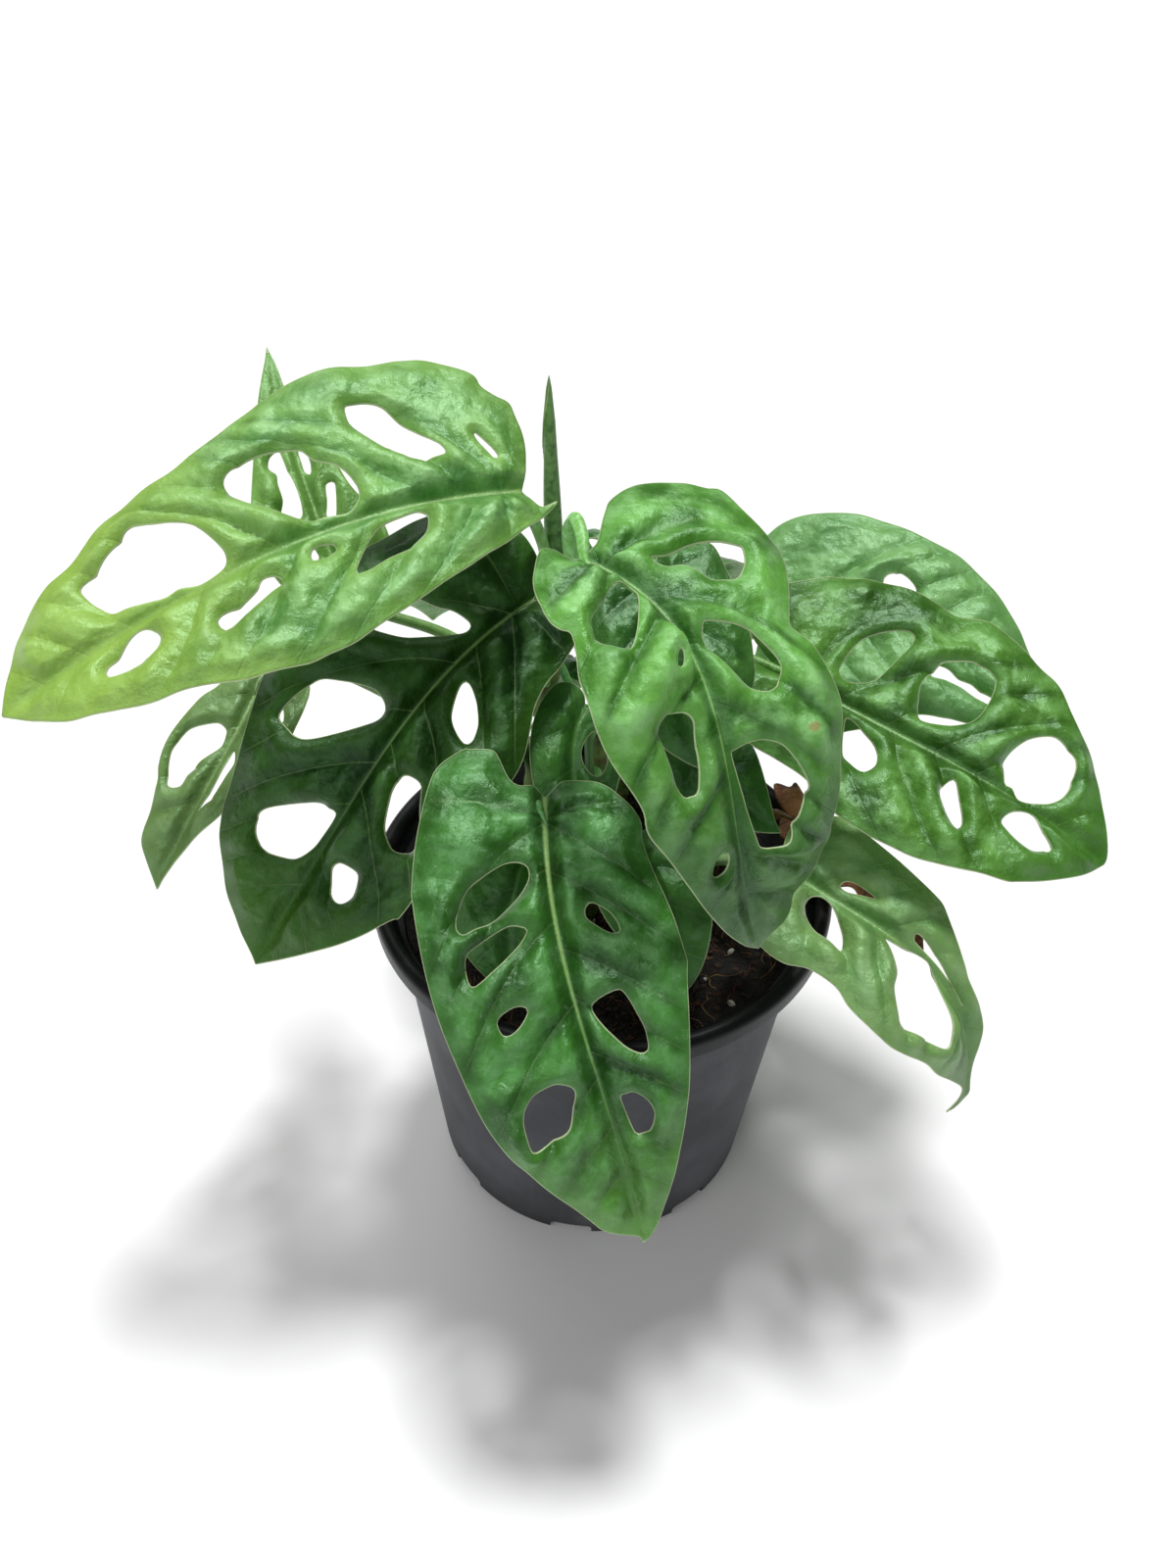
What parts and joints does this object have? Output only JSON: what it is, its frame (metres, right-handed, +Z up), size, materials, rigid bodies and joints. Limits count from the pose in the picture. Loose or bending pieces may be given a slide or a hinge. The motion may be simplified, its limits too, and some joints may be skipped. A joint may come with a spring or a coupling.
{
  "type": "monstera adansonii in a nursery pot",
  "caption": "Swiss cheese plant with heart-shaped leaves full of oval holes, on thin stalks, in a round tapered nursery pot of coir soil.",
  "frame": {"origin": "centre of the pot's base, on its flat underside", "axes": "+Z up along the pot's axis; +X to the viewer's right and -Y towards the side that the front leaf hangs over"},
  "size_m": [0.3021, 0.2531, 0.277],
  "materials": {
    "pot_plastic": "satin black, slightly scuffed",
    "soil": "rough, dark brown coir with pale perlite",
    "leaf_light": "glossy yellow green",
    "leaf_mid": "glossy mid green",
    "leaf_dark": "satin dark green",
    "leaf_grey": "satin grey green",
    "stem": "satin green, paler than the leaves",
    "new_growth": "satin light green",
    "dried_leaf": "dry, matt reddish brown"
  },
  "bodies": {
    "root": {"pot": "pot_plastic", "soil": "soil", "stem_left": "stem", "stem_centre": "stem", "stem_right": "stem", "stem_back": "stem", "leaf_upper_left": "leaf_light", "leaf_lower_left": "leaf_dark", "leaf_front": "leaf_mid", "leaf_centre": "leaf_mid", "leaf_right": "leaf_mid", "leaf_low_right": "leaf_grey", "leaf_right_behind": "leaf_grey", "leaf_small_left": "leaf_grey", "leaf_upright_left": "leaf_grey", "leaf_shaded_centre": "leaf_dark", "leaf_shaded_front": "leaf_dark", "leaf_shaded_left": "leaf_dark", "leaf_shaded_right": "leaf_dark", "leaf_shaded_back": "leaf_dark", "leaf_back_left": "leaf_mid", "leaf_back_right": "leaf_mid", "leaf_back_low": "leaf_mid", "dried_leaf": "dried_leaf", "new_leaf_spear": "new_growth"}
  },
  "joints": []
}
